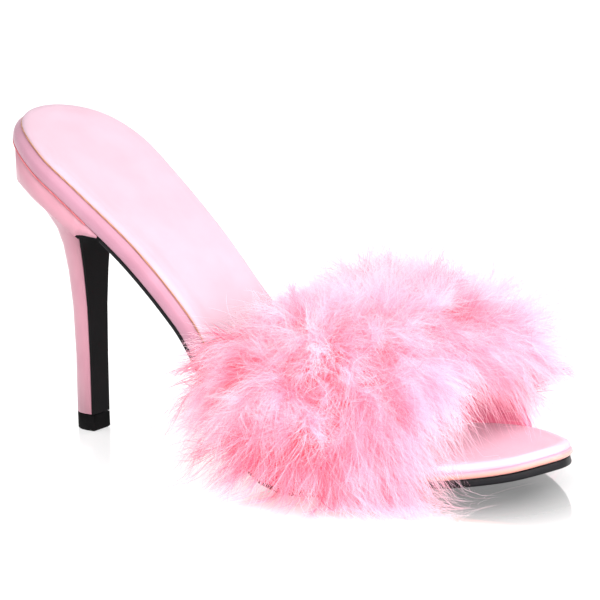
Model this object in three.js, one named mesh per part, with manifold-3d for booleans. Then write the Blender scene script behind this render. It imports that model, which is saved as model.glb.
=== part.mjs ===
// A right-foot marabou slipper: a high-heeled, open-toe, open-back mule.
// Millimetres. +X points to the toe, +Y to the inner (medial) side, +Z up.
// The origin is on the floor, under the middle of the heel's tip.

import * as THREE from 'three';
import Module from 'manifold-3d';

const wasm = await Module();
wasm.setup();

// Driving dimensions

const soleLength = 205; // level length of the sole line, seat back to toe tip
const seatHeight = 100; // from the floor to the sole line at the back of the seat
const ballWidth = 77; // outline across the ball
const gap = 0.3; // left between pieces that meet

const outsoleDepth = 2.4; // under the ball and toes
const shankSoleDepth = 1.5; // under the arch
const outsoleInset = 1.0; // how far the outsole lies inside the band's edge
const seatBandDepth = 5.6; // covered insole board at the seat
const waistBandDepth = 6.1; // and at the waist
const toeBandDepth = 3.0; // and under the toes
const bandRound = 1.2; // rounding of the band's edges
const sockDepth = 1.0;
const sockInset = 1.1; // how far the sock's edge lies inside the band's edge

const heelSetback = 20.4; // seat back to the middle of the heel's tip
const heelTipDepth = 8.0;
const heelTipWidth = 8.5;
const topPieceDepth = 5.5;
const topPieceRound = 0.5;
const breastSweep = 8.5; // how far the breast leans forward at the seat
const earReach = 22; // how far the heel's sides run forward of its breast
const breastCoverDepth = 0.9;

const instepHeight = 50; // crown of the vamp above the sole line, at its back edge
const vampWall = 1.8;
const vampRoundness = 2.3; // 2 is an ellipse, more is squarer
const crownLean = 5; // how far the crown lies towards the inner side

const pileDepth = 16; // dense inner layer of the marabou
const lockLength = 27;
const lockWidth = 23; // across a lock where it leaves the pile
const lockTipWidth = 4;
const floorClearance = 1.6; // lowest that a lock hangs above the floor

// The sole: a row for each section. along: share of soleLength. rise: share of seatHeight.
// lateral, medial: half widths as shares of ballWidth, before the ends are rounded.

const soleSections = [
  { along: 0.000, rise: 1.000, lateral: 0.343, medial: 0.343 },
  { along: 0.058, rise: 0.943, lateral: 0.344, medial: 0.348 },
  { along: 0.112, rise: 0.869, lateral: 0.345, medial: 0.349 },
  { along: 0.182, rise: 0.762, lateral: 0.338, medial: 0.325 },
  { along: 0.277, rise: 0.604, lateral: 0.322, medial: 0.281 },
  { along: 0.361, rise: 0.434, lateral: 0.320, medial: 0.250 },
  { along: 0.422, rise: 0.280, lateral: 0.357, medial: 0.300 },
  { along: 0.468, rise: 0.158, lateral: 0.411, medial: 0.345 },
  { along: 0.513, rise: 0.074, lateral: 0.468, medial: 0.379 },
  { along: 0.553, rise: 0.028, lateral: 0.510, medial: 0.403 },
  { along: 0.593, rise: 0.005, lateral: 0.539, medial: 0.423 },
  { along: 0.634, rise: -0.002, lateral: 0.553, medial: 0.447 },
  { along: 0.678, rise: 0.000, lateral: 0.530, medial: 0.478 },
  { along: 0.727, rise: 0.012, lateral: 0.458, medial: 0.504 },
  { along: 0.795, rise: 0.024, lateral: 0.364, medial: 0.488 },
  { along: 0.868, rise: 0.034, lateral: 0.277, medial: 0.439 },
  { along: 0.932, rise: 0.052, lateral: 0.223, medial: 0.370 },
  { along: 1.000, rise: 0.090, lateral: 0.171, medial: 0.304 },
];
const seatRound = 0.122; // share of soleLength that the rounded seat end takes
const toeRound = 0.183; // and the rounded toe
const toeFullness = 2.2; // 2 is an ellipse, more is fuller

// How the layers thicken along the sole: shares between their named depths.

const depthSections = [
  { along: 0.00, seatToWaist: 0, waistToToe: 0, shankToOutsole: 0 },
  { along: 0.30, seatToWaist: 1, waistToToe: 0, shankToOutsole: 0 },
  { along: 0.42, seatToWaist: 1, waistToToe: 0.12, shankToOutsole: 0.1 },
  { along: 0.55, seatToWaist: 1, waistToToe: 0.75, shankToOutsole: 0.7 },
  { along: 0.65, seatToWaist: 1, waistToToe: 1, shankToOutsole: 1 },
  { along: 1.00, seatToWaist: 1, waistToToe: 1, shankToOutsole: 1 },
];

// The heel: a row for each level, from its tip to the seat. level: share of seatHeight.
// The rest are shares of the way from the tip's size to the seat's.

const heelSections = [
  { level: (topPieceDepth + gap) / seatHeight, tilt: 0, back: 0, width: 0, front: 0, ear: 0 },
  { level: 0.250, tilt: 0.00, back: -0.02, width: 0.005, front: 0.03, ear: 0.00 },
  { level: 0.420, tilt: 0.00, back: 0.00, width: 0.028, front: 0.05, ear: 0.00 },
  { level: 0.540, tilt: 0.03, back: 0.05, width: 0.080, front: 0.06, ear: 0.00 },
  { level: 0.630, tilt: 0.11, back: 0.13, width: 0.135, front: 0.07, ear: 0.00 },
  { level: 0.690, tilt: 0.22, back: 0.24, width: 0.200, front: 0.08, ear: 0.02 },
  { level: 0.745, tilt: 0.39, back: 0.46, width: 0.310, front: 0.11, ear: 0.08 },
  { level: 0.790, tilt: 0.58, back: 0.68, width: 0.470, front: 0.19, ear: 0.18 },
  { level: 0.830, tilt: 0.75, back: 0.86, width: 0.670, front: 0.34, ear: 0.24 },
  { level: 0.875, tilt: 0.89, back: 0.98, width: 0.860, front: 0.56, ear: 0.27 },
  { level: 0.920, tilt: 0.97, back: 1.05, width: 1.000, front: 0.80, ear: 0.34 },
  { level: 0.980, tilt: 1.00, back: 1.12, width: 1.080, front: 1.05, ear: 0.74 },
  { level: 1.060, tilt: 1.00, back: 1.20, width: 1.120, front: 1.15, ear: 1.02 },
];
const seatTilt = 36; // degrees, the seat's own slope

// The last under and around the vamp: a row for each section. span: 0 is the vamp's back edge
// and 1 its front edge. lateral, medial: where the section meets the sole, as shares of
// soleLength. lean: degrees forward of upright. crown: share of instepHeight.

const lastSections = [
  { span: -0.6, lateral: 0.300, medial: 0.320, lean: 52, crown: 1.00 },
  { span: 0.00, lateral: 0.410, medial: 0.440, lean: 58, crown: 0.73 },
  { span: 0.25, lateral: 0.500, medial: 0.545, lean: 27, crown: 0.86 },
  { span: 0.50, lateral: 0.590, medial: 0.650, lean: 9, crown: 0.85 },
  { span: 0.75, lateral: 0.680, medial: 0.755, lean: -5, crown: 0.76 },
  { span: 1.00, lateral: 0.770, medial: 0.840, lean: -22, crown: 0.66 },
  { span: 1.60, lateral: 0.915, medial: 0.985, lean: -26, crown: 0.56 },
];

// Curves through the tables

// A smooth curve through a table's column that never overshoots its rows, and runs straight
// on past them.
function column(rows, key, name) {
  const xs = rows.map((row) => row[key]);
  const ys = rows.map((row) => row[name]);
  const last = rows.length - 1;
  const rises = xs.slice(1).map((x, i) => (ys[i + 1] - ys[i]) / (x - xs[i]));
  const slopes = xs.map((x, i) => {
    if (i === 0) return rises[0];
    if (i === last) return rises[last - 1];
    const product = rises[i - 1] * rises[i];
    return product <= 0 ? 0 : (2 * product) / (rises[i - 1] + rises[i]);
  });
  return (at) => {
    if (at < xs[0]) return ys[0] + slopes[0] * (at - xs[0]);
    if (at > xs[last]) return ys[last] + slopes[last] * (at - xs[last]);
    let i = 0;
    while (i < last - 1 && at > xs[i + 1]) i += 1;
    const step = xs[i + 1] - xs[i];
    const t = (at - xs[i]) / step;
    const start = ys[i] * (1 + 2 * t) * (1 - t) ** 2 + slopes[i] * step * t * (1 - t) ** 2;
    return start + ys[i + 1] * t * t * (3 - 2 * t) + slopes[i + 1] * step * t * t * (t - 1);
  };
}

const soleRise = column(soleSections, 'along', 'rise');
const lateralShare = column(soleSections, 'along', 'lateral');
const medialShare = column(soleSections, 'along', 'medial');
const seatToWaist = column(depthSections, 'along', 'seatToWaist');
const waistToToe = column(depthSections, 'along', 'waistToToe');
const shankToOutsole = column(depthSections, 'along', 'shankToOutsole');
const lastLateral = column(lastSections, 'span', 'lateral');
const lastMedial = column(lastSections, 'span', 'medial');
const lastLean = column(lastSections, 'span', 'lean');
const lastCrown = column(lastSections, 'span', 'crown');

const mix = THREE.MathUtils.lerp;
const radians = THREE.MathUtils.degToRad;

// The sole line and the layers on it

function soleLine(along) {
  return new THREE.Vector3(along * soleLength - heelSetback, 0, soleRise(along) * seatHeight);
}

function soleNormal(along) {
  const step = 0.004;
  const tangent = soleLine(along + step).sub(soleLine(along - step)).normalize();
  return new THREE.Vector3(-tangent.z, 0, tangent.x);
}

const outsoleTop = (along) => mix(shankSoleDepth, outsoleDepth, shankToOutsole(along));
const bandBottom = (along) => outsoleTop(along) + gap;

function bandTop(along) {
  const upToWaist = mix(seatBandDepth, waistBandDepth, seatToWaist(along));
  return bandBottom(along) + mix(upToWaist, toeBandDepth, waistToToe(along));
}

const sockBottom = (along) => bandTop(along) + gap;
const sockTop = (along) => sockBottom(along) + sockDepth;

// How much of the full width the rounded ends leave, for an outline that lies `inset` inside.
function endRounding(along, inset) {
  const fromBack = along * soleLength - inset;
  const fromToe = (1 - along) * soleLength - inset;
  const backRadius = seatRound * soleLength - inset;
  const toeRadius = toeRound * soleLength - inset;
  if (fromBack < backRadius) {
    return Math.sqrt(Math.max(0, 1 - (1 - fromBack / backRadius) ** 2));
  }
  if (fromToe < toeRadius) {
    return Math.sqrt(Math.max(0, 1 - (1 - fromToe / toeRadius) ** toeFullness));
  }
  return 1;
}

function halfWidths(along, inset) {
  const rounding = endRounding(along, inset);
  return {
    lateral: (lateralShare(along) * ballWidth - inset) * rounding,
    medial: (medialShare(along) * ballWidth - inset) * rounding,
  };
}

// Solids

// A closed mesh through rings of points, all rings with the same even number of points.
// Each end is closed by a strip between the ring's first half and its second.
function loft(rings) {
  const count = rings[0].length;
  const triangles = [];
  for (let k = 0; k < rings.length - 1; k += 1) {
    for (let j = 0; j < count; j += 1) {
      const a = k * count + j;
      const b = k * count + ((j + 1) % count);
      triangles.push([a, b, b + count], [a, b + count, a + count]);
    }
  }
  const end = (rings.length - 1) * count;
  for (let j = 0; j < count / 2 - 1; j += 1) {
    const across = count - 1 - j;
    triangles.push([j, across, across - 1], [j, across - 1, j + 1]);
    triangles.push([end + j, end + across - 1, end + across], [end + j, end + j + 1, end + across - 1]);
  }
  return solidOf(rings.flat(), triangles);
}

// A solid from points and triangles, turned inside out if its faces point inwards.
function solidOf(points, triangles) {
  const vertProperties = new Float32Array(points.flatMap((p) => [p.x, p.y, p.z]));
  let volume = 0;
  for (const [a, b, c] of triangles) {
    volume += points[a].dot(points[b].clone().cross(points[c]));
  }
  const order = volume > 0 ? [0, 1, 2] : [0, 2, 1];
  const triVerts = new Uint32Array(triangles.flatMap((t) => order.map((i) => t[i])));
  const mesh = new wasm.Mesh({ numProp: 3, vertProperties, triVerts });
  mesh.merge();
  return new wasm.Manifold(mesh);
}

function solidFromGeometry(geometry) {
  const position = geometry.getAttribute('position');
  const points = [];
  for (let i = 0; i < position.count; i += 1) {
    points.push(new THREE.Vector3().fromBufferAttribute(position, i));
  }
  const index = geometry.getIndex() ? [...geometry.getIndex().array] : points.map((p, i) => i);
  const triangles = [];
  for (let i = 0; i < index.length; i += 3) {
    triangles.push(index.slice(i, i + 3));
  }
  return solidOf(points, triangles);
}

function box(from, to) {
  const geometry = new THREE.BoxGeometry(to.x - from.x, to.y - from.y, to.z - from.z);
  geometry.translate((from.x + to.x) / 2, (from.y + to.y) / 2, (from.z + to.z) / 2);
  return solidFromGeometry(geometry);
}

// A cut can leave loose slivers at an edge, which are dropped.
function largestBody(solid) {
  return solid.decompose().reduce((a, b) => (b.volume() > a.volume() ? b : a));
}

const reach = 200; // farther than any piece reaches
const underFloor = box(new THREE.Vector3(-reach, -reach, -reach), new THREE.Vector3(reach * 2, reach, 0));

// Shares along the sole from one place to another, closer together at the eased ends.
function stations(from, to, count, easeStart, easeEnd) {
  return Array.from({ length: count + 1 }, (unused, i) => {
    const t = i / count;
    if (easeStart && easeEnd) return mix(from, to, (1 - Math.cos(t * Math.PI)) / 2);
    if (easeStart) return mix(from, to, 1 - Math.cos((t * Math.PI) / 2));
    if (easeEnd) return mix(from, to, Math.sin((t * Math.PI) / 2));
    return mix(from, to, t);
  });
}

// A layer of the sole between two heights above the sole line. Its edges are rounded in
// `corner` steps.
function layer({ places, inset, bottom, top, lowRound, highRound, corner }) {
  const across = 3;
  const outlines = places.map((along) => {
    const { lateral, medial } = halfWidths(along, inset);
    const low = bottom(along);
    const high = top(along);
    const limit = Math.min(lateral, medial) * 0.9;
    const lower = Math.min(lowRound, limit);
    const upper = Math.min(highRound, limit);
    const points = [];
    const turn = (centreY, centreZ, radius, from) => {
      for (let i = 0; i <= corner; i += 1) {
        const angle = from + (i / corner) * (Math.PI / 2);
        points.push(new THREE.Vector2(centreY + radius * Math.cos(angle), centreZ + radius * Math.sin(angle)));
      }
    };
    turn(medial - lower, low + lower, lower, -Math.PI / 2);
    turn(medial - upper, high - upper, upper, 0);
    for (let i = 1; i < across; i += 1) {
      points.push(new THREE.Vector2(mix(medial - upper, upper - lateral, i / across), high));
    }
    turn(upper - lateral, high - upper, upper, Math.PI / 2);
    turn(lower - lateral, low + lower, lower, Math.PI);
    return points;
  });
  const rings = places.map((along, k) => {
    const base = soleLine(along);
    const normal = soleNormal(along);
    return outlines[k].map((p) => base.clone().addScaledVector(normal, p.y).setY(p.x));
  });
  return loft(rings);
}

// Where a layer that lies `inset` inside the outline starts and ends.
function soleEnds(inset) {
  const sliver = 0.12; // keeps the first and last ring open
  const end = (inset + sliver) / soleLength;
  return stations(end, 1 - end, 34, true, true);
}

// The heel

const tipBack = -heelTipDepth / 2;
const tipFront = heelTipDepth / 2;
const seatBack = -heelSetback;
const seatHalf = (ballWidth * (lateralShare(seatRound) + medialShare(seatRound))) / 2;
const seatSlope = radians(seatTilt);
const breastSteps = 10;

const halfWidthAt = (row) => mix(heelTipWidth / 2, seatHalf, row.width);

// How far forward the breast is at one level, at `side` from the middle.
function breastAt(row, side) {
  const flare = earReach * row.ear * Math.abs(side / halfWidthAt(row)) ** 2.2;
  return tipFront + breastSweep * row.front + flare;
}

// The breast's own line at one level, from the lateral side to the medial, `grow` in front.
function breastLine(row, grow) {
  const half = halfWidthAt(row) + grow;
  return Array.from({ length: breastSteps + 1 }, (unused, i) => {
    const side = mix(-half, half, i / breastSteps);
    return new THREE.Vector2(breastAt(row, side) + grow, side);
  });
}

// The outline of one level of the heel, seen from above and grown outwards by `grow`.
function heelLevel(row, grow) {
  const half = halfWidthAt(row) + grow;
  const corner = breastAt(row, half) + grow;
  const back = mix(tipBack, seatBack, row.back) - grow;
  const squareness = 2 / mix(2.3, 3.2, row.width);
  const rear = Array.from({ length: breastSteps + 1 }, (unused, i) => {
    const angle = mix(Math.PI / 2, -Math.PI / 2, i / breastSteps);
    const depth = Math.max(0, Math.cos(angle)) ** squareness * (corner - back);
    const side = Math.sign(Math.sin(angle)) * Math.abs(Math.sin(angle)) ** squareness;
    return new THREE.Vector2(i % breastSteps ? corner - depth : corner, half * side);
  });
  return [...rear, ...breastLine(row, grow).slice(1, -1)];
}

// Turns an outline seen from above into the tilted plane of its level.
function heelPlace(row) {
  const pivot = (tipBack + seatBack) / 2;
  const slope = Math.tan(seatSlope * row.tilt);
  return (p) => new THREE.Vector3(p.x, p.y, row.level * seatHeight - (p.x - pivot) * slope);
}

function heelBlank(grow) {
  return loft(heelSections.map((row) => heelLevel(row, grow).map(heelPlace(row))));
}

// Everything above the underside of the band, less the clearance under it.
function aboveBand() {
  return layer({
    places: stations(-0.06, 0.45, 30, false, false),
    inset: -reach / 10,
    bottom: (along) => bandBottom(along) - gap,
    top: () => reach / 4,
    lowRound: 0.1,
    highRound: 0.1,
    corner: 1,
  });
}

// The outline of the sole's underside seen from above, as a tall prism.
function seatPrism() {
  const places = stations(0.0006, 0.45, 40, true, false);
  const edge = (along, side) => {
    const place = soleLine(along).addScaledVector(soleNormal(along), bandBottom(along));
    return new THREE.Vector2(place.x, halfWidths(along, bandRound / 2)[side] * (side === 'lateral' ? -1 : 1));
  };
  const outline = [
    ...places.map((along) => edge(along, 'lateral')),
    ...places.map((along) => edge(along, 'medial')).reverse(),
  ];
  const geometry = new THREE.ExtrudeGeometry(new THREE.Shape(outline), { depth: reach, bevelEnabled: false });
  return solidFromGeometry(geometry);
}

function heelSolid() {
  return heelBlank(0).intersect(seatPrism()).subtract(aboveBand());
}

// The breast cover lies on the breast, from the top piece up to the band.
function breastCoverSolid() {
  const ahead = reach / 4;
  const zone = loft(heelSections.map((row) => {
    const line = breastLine(row, 0).map((p) => new THREE.Vector2(p.x - 1, p.y));
    const far = line.map((p) => new THREE.Vector2(p.x + ahead, p.y)).reverse();
    return [...line, ...far].map(heelPlace(row));
  }));
  const cover = heelBlank(gap + breastCoverDepth).subtract(heelBlank(gap));
  return largestBody(cover.intersect(zone).intersect(seatPrism()).subtract(aboveBand()));
}

// The top piece is the hard tip that the heel stands on.
function topPieceSolid() {
  const covered = breastCoverDepth + gap; // it reaches forward under the breast cover
  const levels = [
    { z: 0, grow: -topPieceRound },
    { z: topPieceRound, grow: 0 },
    { z: topPieceDepth, grow: 0 },
  ];
  return loft(levels.map(({ z, grow }) => heelLevel(heelSections[0], grow).map((p) => {
    const forward = p.x > 0 ? (covered * p.x) / tipFront : 0;
    return new THREE.Vector3(p.x + forward, p.y, z);
  })));
}

// The vamp

const vampUnderside = (along) => bandBottom(along);

// A point on the vamp's outer face. span: back edge 0 to front edge 1. arch: 0 is the lateral
// edge at the sole, 1 the medial edge.
function vampPoint(span, arch) {
  const cosine = Math.cos(Math.PI * arch);
  const sine = Math.max(0, Math.sin(Math.PI * arch));
  const along = mix(lastLateral(span), lastMedial(span), (1 - cosine) / 2);
  const { lateral, medial } = halfWidths(along, 0);
  const side = Math.abs(cosine) ** (2 / vampRoundness);
  const height = sine ** (2 / vampRoundness) * instepHeight * lastCrown(span);
  const lean = radians(lastLean(span));
  const point = soleLine(along).addScaledVector(soleNormal(along), vampUnderside(along));
  point.x += height * Math.sin(lean);
  point.z += height * Math.cos(lean);
  point.y = (cosine > 0 ? -lateral : medial) * side + crownLean * sine;
  return point;
}

function vampNormal(span, arch) {
  const step = 0.01;
  const acrossFrom = vampPoint(span, Math.max(arch - step, 0.002));
  const across = vampPoint(span, Math.min(arch + step, 0.998)).sub(acrossFrom);
  const forward = vampPoint(span + step, arch).sub(vampPoint(span - step, arch));
  return forward.cross(across).normalize();
}

// One section's line at a distance from the vamp's outer face. With a drop it also runs down
// past the sole at both sides.
function archLine(span, arches, distance, drop = 0) {
  const line = arches.map((arch) => {
    const away = vampNormal(span, arch);
    if (Math.min(arch, 1 - arch) < 0.001) away.setZ(0).normalize();
    return vampPoint(span, arch).addScaledVector(away, distance(span, arch));
  });
  if (drop === 0) return line;
  const lowered = (point) => point.clone().setZ(point.z - drop);
  return [lowered(line[0]), ...line, lowered(line.at(-1))];
}

// A shell over the last between two distances from the vamp's outer face.
function vampShell({ spans, arches, outer, inner, drop }) {
  return loft(spans.map((span) => [
    ...archLine(span, arches, outer, drop),
    ...archLine(span, arches, inner, drop).reverse(),
  ]));
}

const vampSpans = Array.from({ length: 11 }, (unused, i) => i / 10);

// Places round the arch, closer together at the sole.
const vampArches = Array.from({ length: 28 }, (unused, i) => {
  const t = i / 27;
  return t - 0.12 * Math.sin(2 * Math.PI * t);
});

function upperSolid() {
  return vampShell({
    spans: vampSpans,
    arches: vampArches,
    outer: () => 0,
    inner: () => -vampWall,
  });
}

// The room that the vamp takes with a clearance all round, for cutting the band and the sock.
function vampRoom() {
  const past = (2 * gap) / (soleLength * (lastLateral(1) - lastLateral(0)));
  return vampShell({
    spans: [-past, ...vampSpans.slice(1, -1), 1 + past],
    arches: vampArches,
    outer: () => 3 * gap,
    inner: () => -vampWall - gap,
    drop: outsoleDepth,
  });
}

// The space that the foot takes, through the vamp and out past both of its edges.
function footSpace() {
  const spans = Array.from({ length: 23 }, (unused, i) => mix(-0.6, 1.6, i / 22));
  return loft(spans.map((span) => archLine(span, vampArches, () => gap, seatHeight)));
}

// The marabou

// Even but irregular numbers from 0 to 1, the same each time.
const scatter = (index, salt) => {
  const value = Math.sin(index * 127.1 + salt * 311.7) * 43758.5453;
  return value - Math.floor(value);
};

const pileThickness = (span, arch) => {
  const edges = Math.sin(Math.PI * mix(0.1, 0.9, THREE.MathUtils.clamp(span, 0, 1)));
  const sole = Math.sin(Math.PI * mix(0.12, 0.88, arch));
  return pileDepth * edges ** 0.6 * sole ** 0.4;
};

// One plump tapered lock that leaves the pile along `away` and then droops.
function lock(root, away, length, droop) {
  const sides = 4;
  const steps = 3;
  const sideways = new THREE.Vector3(-away.y, away.x, 0);
  if (sideways.length() < 0.2) sideways.set(1, 0, 0);
  sideways.normalize();
  const third = away.clone().cross(sideways).normalize();
  const rings = [];
  for (let k = 0; k <= steps; k += 1) {
    const t = k / steps;
    const centre = root.clone().addScaledVector(away, length * t);
    centre.z -= droop * t * t;
    const radius = mix(lockWidth, lockTipWidth, t ** 1.7) / 2;
    rings.push(Array.from({ length: sides }, (unused, i) => {
      const angle = ((i + 0.5) / sides) * Math.PI * 2;
      return centre.clone()
        .addScaledVector(sideways, Math.cos(angle) * radius)
        .addScaledVector(third, Math.sin(angle) * radius);
    }));
  }
  return loft(rings);
}

function marabouSolid(keepClear) {
  let pile = vampShell({
    spans: Array.from({ length: 7 }, (unused, i) => i / 6),
    arches: Array.from({ length: 16 }, (unused, i) => mix(0.03, 0.97, i / 15)),
    outer: pileThickness,
    inner: () => gap,
  });
  const rows = 4;
  const perRow = 12;
  for (let row = 0; row < rows; row += 1) {
    for (let i = 0; i < perRow; i += 1) {
      const index = row * perRow + i;
      const span = (row + 0.25 + 0.5 * scatter(index, 1)) / rows;
      const arch = mix(0.03, 0.97, (i + 0.25 + 0.5 * scatter(index, 2)) / perRow);
      const outwards = vampNormal(span, arch);
      const root = vampPoint(span, arch).addScaledVector(outwards, pileThickness(span, arch) * 0.5);
      const spread = new THREE.Vector3(
        (span - 0.42) * 1.5 + (scatter(index, 3) - 0.5) * 0.5,
        (scatter(index, 4) - 0.5) * 0.4,
        (scatter(index, 5) - 0.5) * 0.3,
      );
      const away = outwards.clone().add(spread).normalize();
      const level = Math.hypot(away.x, away.y);
      const length = lockLength * mix(0.85, 1.1, scatter(index, 6)) * mix(0.7, 1.25, level);
      const limp = mix(0.3, 0.95, scatter(index, 7)) * mix(1.1, 0.4, arch);
      pile = pile.add(lock(root, away, length, length * limp * level));
    }
  }
  const lowest = new THREE.Vector3(reach * 2, reach, floorClearance);
  const cut = pile.subtract(box(new THREE.Vector3(-reach, -reach, -reach), lowest));
  const clear = keepClear.reduce((solid, piece) => solid.subtract(piece), cut);
  return largestBody(clear);
}

// The pieces

const outsole = layer({
  places: stations(0.17, 1 - (outsoleInset + 0.12) / soleLength, 34, false, true),
  inset: outsoleInset,
  bottom: () => 0,
  top: outsoleTop,
  lowRound: 0.6,
  highRound: 0.2,
  corner: 1,
}).subtract(heelBlank(breastCoverDepth + 2 * gap)).subtract(underFloor);

const footbed = layer({
  places: soleEnds(0),
  inset: 0,
  bottom: bandBottom,
  top: bandTop,
  lowRound: bandRound / 2,
  highRound: bandRound,
  corner: 2,
}).subtract(vampRoom());

const sock = layer({
  places: soleEnds(sockInset),
  inset: sockInset,
  bottom: sockBottom,
  top: sockTop,
  lowRound: 0.15,
  highRound: 0.6,
  corner: 1,
}).subtract(vampRoom());

const soleRoom = layer({
  places: soleEnds(-gap),
  inset: -gap,
  bottom: () => -gap,
  top: (along) => sockTop(along) + gap,
  lowRound: 0.1,
  highRound: 0.1,
  corner: 1,
});

const pieces = {
  top_piece: { solid: topPieceSolid(), color: '#1d1c1e', roughness: 0.45 },
  heel: { solid: heelSolid(), color: '#eeb2cb', roughness: 0.4 },
  breast_cover: { solid: breastCoverSolid(), color: '#232225', roughness: 0.5 },
  outsole: { solid: outsole, color: '#232225', roughness: 0.5 },
  footbed: { solid: footbed, color: '#f0b9cf', roughness: 0.4 },
  sock: { solid: sock, color: '#fbdcea', roughness: 0.45 },
  upper: { solid: upperSolid(), color: '#dc7fa4', roughness: 0.6 },
  marabou: { solid: marabouSolid([footSpace(), soleRoom]), color: '#f7a9c9', roughness: 0.9 },
};

function meshOf(name, { solid, color, roughness }) {
  const { vertProperties, triVerts, numProp } = solid.getMesh();
  const position = new Float32Array((vertProperties.length / numProp) * 3);
  for (let i = 0; i < position.length / 3; i += 1) {
    position.set(vertProperties.subarray(i * numProp, i * numProp + 3), i * 3);
  }
  const geometry = new THREE.BufferGeometry();
  geometry.setAttribute('position', new THREE.BufferAttribute(position, 3));
  geometry.setIndex(new THREE.BufferAttribute(triVerts, 1));
  geometry.computeVertexNormals();
  const mesh = new THREE.Mesh(geometry, new THREE.MeshStandardMaterial({ color, roughness, metalness: 0 }));
  mesh.name = name;
  return mesh;
}

const slipper = new THREE.Group();
slipper.name = 'marabou_slipper';
for (const [name, piece] of Object.entries(pieces)) {
  slipper.add(meshOf(name, piece));
}

export default slipper;
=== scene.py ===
import math

import bpy
import numpy as np
from mathutils import Matrix, Vector


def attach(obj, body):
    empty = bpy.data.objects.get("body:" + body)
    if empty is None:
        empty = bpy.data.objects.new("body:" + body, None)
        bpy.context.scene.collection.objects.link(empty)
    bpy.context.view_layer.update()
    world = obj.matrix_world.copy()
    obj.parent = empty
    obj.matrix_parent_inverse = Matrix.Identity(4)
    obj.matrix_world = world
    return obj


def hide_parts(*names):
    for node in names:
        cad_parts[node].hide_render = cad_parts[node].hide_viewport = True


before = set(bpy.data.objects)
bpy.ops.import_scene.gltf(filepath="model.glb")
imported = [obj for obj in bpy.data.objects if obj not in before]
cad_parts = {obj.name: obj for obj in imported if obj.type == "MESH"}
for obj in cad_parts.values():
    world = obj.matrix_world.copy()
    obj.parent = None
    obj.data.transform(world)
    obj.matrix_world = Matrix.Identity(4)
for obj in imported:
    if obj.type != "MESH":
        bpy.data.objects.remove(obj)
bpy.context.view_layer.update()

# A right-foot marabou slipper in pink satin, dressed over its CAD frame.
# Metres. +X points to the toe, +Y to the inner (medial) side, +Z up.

MM = 0.001

# The camera of the photograph

CAMERA_TURN = 35.21  # degrees round from the lateral side towards the toe
CAMERA_RISE = 12.0
CAMERA_ROLL = -1.69
CAMERA_DISTANCE = 1.266
CAMERA_AIM = (0.0825, 0.0, 0.05)
CAMERA_LENS = 238.68  # on a 36 mm sensor
CAMERA_SHIFT = (0.01797, 0.00693)


def add_camera():
    turn = math.radians(CAMERA_TURN)
    rise = math.radians(CAMERA_RISE)
    roll = math.radians(CAMERA_ROLL)
    back = Vector((math.sin(turn) * math.cos(rise), -math.cos(turn) * math.cos(rise), math.sin(rise)))
    right = Vector((math.cos(turn), math.sin(turn), 0))
    up = back.cross(right)
    rolled_right = right * math.cos(roll) + up * math.sin(roll)
    rolled_up = up * math.cos(roll) - right * math.sin(roll)
    data = bpy.data.cameras.new("photo_camera")
    data.sensor_width = 36
    data.lens = CAMERA_LENS
    data.shift_x, data.shift_y = CAMERA_SHIFT
    data.clip_start = 0.05
    data.clip_end = 50
    camera = bpy.data.objects.new("photo_camera", data)
    bpy.context.scene.collection.objects.link(camera)
    place = Matrix((rolled_right, rolled_up, back)).transposed().to_4x4()
    place.translation = Vector(CAMERA_AIM) + back * CAMERA_DISTANCE
    camera.matrix_world = place
    bpy.context.scene.camera = camera


add_camera()

# Sizes of the slipper, the same as in the CAD part

SOLE_LENGTH = 0.205  # on the level
SEAT_HEIGHT = 0.100  # of the sole line over the floor at the seat
BALL_WIDTH = 0.077
GAP = 0.3 * MM  # between the layers
OUTSOLE_DEPTH = 2.4 * MM
SHANK_SOLE_DEPTH = 1.5 * MM
SEAT_BAND_DEPTH = 5.6 * MM
WAIST_BAND_DEPTH = 6.1 * MM
TOE_BAND_DEPTH = 3.0 * MM
SOCK_DEPTH = 1.0 * MM
SOCK_INSET = 1.1 * MM
HEEL_SETBACK = 20.4 * MM  # from the seat's back to the origin
INSTEP_HEIGHT = 50 * MM
VAMP_ROUNDNESS = 2.3
CROWN_LEAN = 5 * MM  # of the vamp's crown towards the inner side
SEAT_ROUND = 0.122  # share of the length over which the seat rounds off
TOE_ROUND = 0.183
TOE_FULLNESS = 2.2


def table(names, *rows):
    """Named columns from rows."""
    return {name: np.array(column, float) for name, column in zip(names.split(), zip(*rows))}


# The sole line's rise and the outline's half widths, as shares, by the share of the length
SOLE = table(
    "along rise lateral medial",
    (0.000, 1.000, 0.343, 0.343),
    (0.058, 0.943, 0.344, 0.348),
    (0.112, 0.869, 0.345, 0.349),
    (0.182, 0.762, 0.338, 0.325),
    (0.277, 0.604, 0.322, 0.281),
    (0.361, 0.434, 0.320, 0.250),
    (0.422, 0.280, 0.357, 0.300),
    (0.468, 0.158, 0.411, 0.345),
    (0.513, 0.074, 0.468, 0.379),
    (0.553, 0.028, 0.510, 0.403),
    (0.593, 0.005, 0.539, 0.423),
    (0.634, -0.002, 0.553, 0.447),
    (0.678, 0.000, 0.530, 0.478),
    (0.727, 0.012, 0.458, 0.504),
    (0.795, 0.024, 0.364, 0.488),
    (0.868, 0.034, 0.277, 0.439),
    (0.932, 0.052, 0.223, 0.370),
    (1.000, 0.090, 0.171, 0.304),
)
# How far each layer's depth has changed from one named depth to the next
DEPTHS = table(
    "along seat_to_waist waist_to_toe shank_to_outsole",
    (0.00, 0, 0, 0),
    (0.30, 1, 0, 0),
    (0.42, 1, 0.12, 0.1),
    (0.55, 1, 0.75, 0.7),
    (0.65, 1, 1, 1),
    (1.00, 1, 1, 1),
)
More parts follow.
